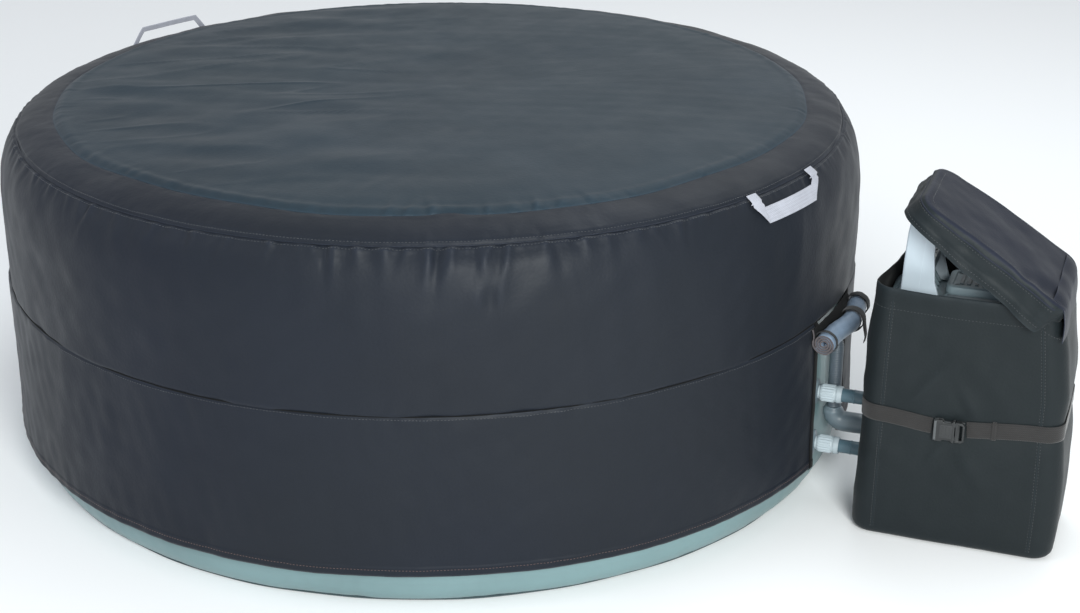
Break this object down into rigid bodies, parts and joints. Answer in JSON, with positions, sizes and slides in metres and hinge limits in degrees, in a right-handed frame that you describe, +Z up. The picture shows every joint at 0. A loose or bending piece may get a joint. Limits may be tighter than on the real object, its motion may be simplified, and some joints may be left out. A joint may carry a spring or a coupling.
{
  "type": "inflatable hot tub",
  "caption": "Round inflatable hot tub in a lift-off insulated jacket, with an external pump and heater unit in a soft cover with a raised flap and buckled strap.",
  "frame": {"origin": "centre of the tub on the floor", "axes": "+Z up along the tub's axis, +X from the tub towards the pump unit along its long side"},
  "size_m": [2.4805, 1.974, 0.8048],
  "materials": {
    "jacket_fabric": "matte",
    "tub_vinyl": "satin",
    "lid_vinyl": "satin",
    "mat_foam": "matte",
    "door_lining": "satin",
    "handle_webbing": "matte",
    "tie_webbing": "matte",
    "bag_fabric": "matte",
    "strap_webbing": "matte",
    "buckle_plastic": "satin",
    "fitting_plastic": "satin",
    "pipe_plastic": "satin",
    "hose_plastic": "satin",
    "shell_plastic": "satin",
    "deck_plastic": "satin",
    "display_plastic": "gloss",
    "white_plastic": "satin",
    "filter_paper": "matte",
    "motor_metal": "satin",
    "heater_steel": "satin",
    "board_laminate": "satin",
    "rubber": "matte"
  },
  "bodies": {
    "tub": {"ground_mat": "mat_foam", "tub_floor": "tub_vinyl", "tub_wall": "tub_vinyl", "air_ring": "tub_vinyl", "air_duct": "hose_plastic", "air_hose": "hose_plastic", "water_outlet_sleeve": "fitting_plastic", "water_inlet_sleeve": "fitting_plastic", "return_grille": "white_plastic", "return_nozzle": "white_plastic", "filter_base": "white_plastic", "inflation_valve": "hose_plastic", "drain_valve": "hose_plastic"},
    "filter": {"filter_cartridge": "filter_paper", "filter_cap": "white_plastic"},
    "inflation_cap": {"inflation_cap": "rubber"},
    "drain_cap": {"drain_cap": "rubber"},
    "jacket": {"jacket_top": "jacket_fabric", "jacket_shoulder": "jacket_fabric", "jacket_upper_skirt": "jacket_fabric", "jacket_lower_skirt": "jacket_fabric", "inflatable_lid": "lid_vinyl", "lid_valve_plug": "rubber", "door_roll": "door_lining", "roll_tie": "tie_webbing"},
    "front_handle": {"handle_front": "handle_webbing"},
    "rear_handle": {"handle_rear": "handle_webbing"},
    "pump": {"cover_bag": "bag_fabric", "cover_strap": "strap_webbing", "buckle_socket": "buckle_plastic", "pump_base": "deck_plastic", "pump_housing": "shell_plastic", "pump_deck": "deck_plastic", "service_cover": "deck_plastic", "pump_hood": "shell_plastic", "control_panel": "deck_plastic", "display_window": "display_plastic", "cable_gland": "rubber", "pump_volute": "deck_plastic", "pump_motor": "motor_metal", "heater_tube": "heater_steel", "blower_housing": "hose_plastic", "circuit_board": "board_laminate", "pipe_upper": "pipe_plastic", "pipe_lower": "pipe_plastic", "gasket_upper": "rubber", "gasket_lower": "rubber", "air_elbow": "hose_plastic"},
    "cover_flap": {"cover_flap": "bag_fabric"},
    "buckle_plug": {"buckle_plug": "buckle_plastic"},
    "union_nut_upper": {"union_nut_upper": "fitting_plastic"},
    "union_nut_lower": {"union_nut_lower": "fitting_plastic"},
    "impeller": {"pump_impeller": "white_plastic"},
    "blower_fan": {"blower_fan": "white_plastic"},
    "button_power": {"button_power": "white_plastic"},
    "button_filter": {"button_filter": "white_plastic"},
    "button_heater": {"button_heater": "white_plastic"},
    "button_bubbles": {"button_bubbles": "white_plastic"},
    "button_up": {"button_up": "white_plastic"},
    "button_down": {"button_down": "white_plastic"}
  },
  "joints": [
    {"name": "jacket_lift", "type": "slide", "parent": "tub", "child": "jacket", "axis": [0, 0, 1], "range_m": [0, 0.8]},
    {"name": "pump_pull_away", "type": "slide", "parent": "tub", "child": "pump", "axis": [1, 0, 0], "range_m": [0, 0.25]},
    {"name": "filter_pull", "type": "slide", "parent": "tub", "child": "filter", "axis": [-1, 0, 0], "range_m": [0, 0.2]},
    {"name": "inflation_cap_turn", "type": "hinge", "parent": "tub", "child": "inflation_cap", "pos_m": [0.92795, 0.24864, 0.3], "axis": [0.9659, 0.2588, 0], "continuous": true},
    {"name": "drain_cap_turn", "type": "hinge", "parent": "tub", "child": "drain_cap", "pos_m": [-0.94885, 0.15028, 0.056], "axis": [-0.9877, 0.1564, 0], "continuous": true},
    {"name": "front_handle_swing", "type": "hinge", "parent": "jacket", "child": "front_handle", "pos_m": [0.89953, -0.29923, 0.747], "axis": [-0.3156, -0.9489, 0], "range_deg": [0, 198]},
    {"name": "rear_handle_swing", "type": "hinge", "parent": "jacket", "child": "rear_handle", "pos_m": [-0.89083, 0.32423, 0.747], "axis": [-0.342, -0.9397, 0], "range_deg": [-38, 160]},
    {"name": "flap_hinge", "type": "hinge", "parent": "pump", "child": "cover_flap", "pos_m": [1.461, -0.183, 0.54], "axis": [0, 1, 0], "range_deg": [0, 175]},
    {"name": "buckle_release", "type": "slide", "parent": "pump", "child": "buckle_plug", "axis": [1, 0, 0], "range_m": [0, 0.036]},
    {"name": "union_nut_upper_turn", "type": "hinge", "parent": "pump", "child": "union_nut_upper", "pos_m": [0.9655, -0.145, 0.237], "axis": [1, 0, 0], "continuous": true},
    {"name": "union_nut_lower_turn", "type": "hinge", "parent": "pump", "child": "union_nut_lower", "pos_m": [0.9655, -0.145, 0.114], "axis": [1, 0, 0], "continuous": true},
    {"name": "impeller_spin", "type": "hinge", "parent": "pump", "child": "impeller", "pos_m": [1.235, -0.2, 0.0775], "axis": [0, 0, 1], "continuous": true},
    {"name": "blower_fan_spin", "type": "hinge", "parent": "pump", "child": "blower_fan", "pos_m": [1.35, -0.14, 0.12], "axis": [0, 0, 1], "continuous": true},
    {"name": "button_power_press", "type": "slide", "parent": "pump", "child": "button_power", "axis": [-0.9982, 0, 0.0599], "range_m": [0, 0.0015], "stiffness_N_per_m": 300},
    {"name": "button_filter_press", "type": "slide", "parent": "pump", "child": "button_filter", "axis": [-0.9982, 0, 0.0599], "range_m": [0, 0.0015], "stiffness_N_per_m": 300},
    {"name": "button_heater_press", "type": "slide", "parent": "pump", "child": "button_heater", "axis": [-0.9982, 0, 0.0599], "range_m": [0, 0.0015], "stiffness_N_per_m": 300},
    {"name": "button_bubbles_press", "type": "slide", "parent": "pump", "child": "button_bubbles", "axis": [-0.9982, 0, 0.0599], "range_m": [0, 0.0015], "stiffness_N_per_m": 300},
    {"name": "button_up_press", "type": "slide", "parent": "pump", "child": "button_up", "axis": [-0.9982, 0, 0.0599], "range_m": [0, 0.0015], "stiffness_N_per_m": 300},
    {"name": "button_down_press", "type": "slide", "parent": "pump", "child": "button_down", "axis": [-0.9982, 0, 0.0599], "range_m": [0, 0.0015], "stiffness_N_per_m": 300}
  ]
}
